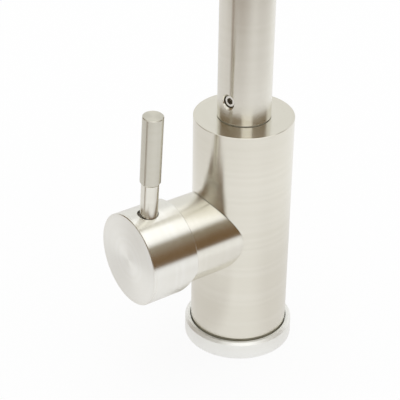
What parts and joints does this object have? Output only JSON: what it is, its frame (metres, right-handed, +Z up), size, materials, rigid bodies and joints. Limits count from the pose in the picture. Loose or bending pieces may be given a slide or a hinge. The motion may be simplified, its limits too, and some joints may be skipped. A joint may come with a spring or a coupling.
{
  "type": "gooseneck bar faucet",
  "caption": "Deck-mounted bar faucet with a tall swivelling gooseneck and a side lever that tilts for flow and turns for temperature.",
  "frame": {"origin": "centre of the base at the deck's surface", "axes": "+Z up along the body; +X from the body through the valve and its lever knob; the gooseneck's outlet points toward -Y at rest"},
  "size_m": [0.0925, 0.2098, 0.4428],
  "materials": {
    "brushed_nickel": "fine brushed, warm satin",
    "zinc_steel": "zinc plated",
    "plain_steel": "machined",
    "brass": "machined",
    "rubber": "matte",
    "white_nylon": "smooth",
    "cartridge_plastic": "moulded",
    "disc_ceramic": "lapped"
  },
  "bodies": {
    "base": {"faucet_body": "brushed_nickel", "valve_stub": "brushed_nickel", "base_ring": "brushed_nickel", "base_seal": "rubber", "deck_gasket": "rubber", "mounting_stud": "zinc_steel", "deck_rubber_washer": "rubber", "deck_steel_washer": "zinc_steel", "mounting_nut": "brass", "spout_connector": "brass", "connector_o_rings": "rubber", "swivel_washer": "white_nylon", "cartridge_base": "cartridge_plastic", "cartridge_seals": "rubber", "fixed_disc": "disc_ceramic", "cartridge_housing": "cartridge_plastic", "retaining_nut": "brass"},
    "carriage": {"stem_carriage": "cartridge_plastic", "stem_pin": "plain_steel"},
    "disc": {"moving_disc": "disc_ceramic", "disc_driver": "cartridge_plastic"},
    "handle": {"valve_stem": "plain_steel", "handle_knob": "brushed_nickel", "lever_rod": "brushed_nickel", "lever_grip": "brushed_nickel", "knob_set_screw": "plain_steel"},
    "gooseneck": {"spout_tube": "brushed_nickel", "spout_socket": "brass", "spout_set_screw": "plain_steel", "outlet_collar": "brass", "aerator_housing": "brushed_nickel", "aerator_screen": "plain_steel", "aerator_core": "cartridge_plastic", "aerator_washer": "rubber"}
  },
  "joints": [
    {"name": "spout_swivel", "type": "hinge", "parent": "base", "child": "gooseneck", "pos_m": [0, 0, 0.1349], "axis": [0, 0, 1], "continuous": true},
    {"name": "temperature_turn", "type": "hinge", "parent": "base", "child": "carriage", "pos_m": [0.032, 0, 0.0662], "axis": [1, 0, 0], "range_deg": [-40, 49]},
    {"name": "flow_tilt", "type": "hinge", "parent": "carriage", "child": "handle", "pos_m": [0.032, 0, 0.0662], "axis": [0, 0.9966, -0.0819], "range_deg": [0, 22]},
    {"name": "disc_slide", "type": "slide", "parent": "carriage", "child": "disc", "axis": [0, 0.0819, 0.9966], "range_m": [0, 0.00385]}
  ],
  "couplings": [
    {"joint": "disc_slide", "follows": "flow_tilt", "m_per_rad": 0.01}
  ]
}
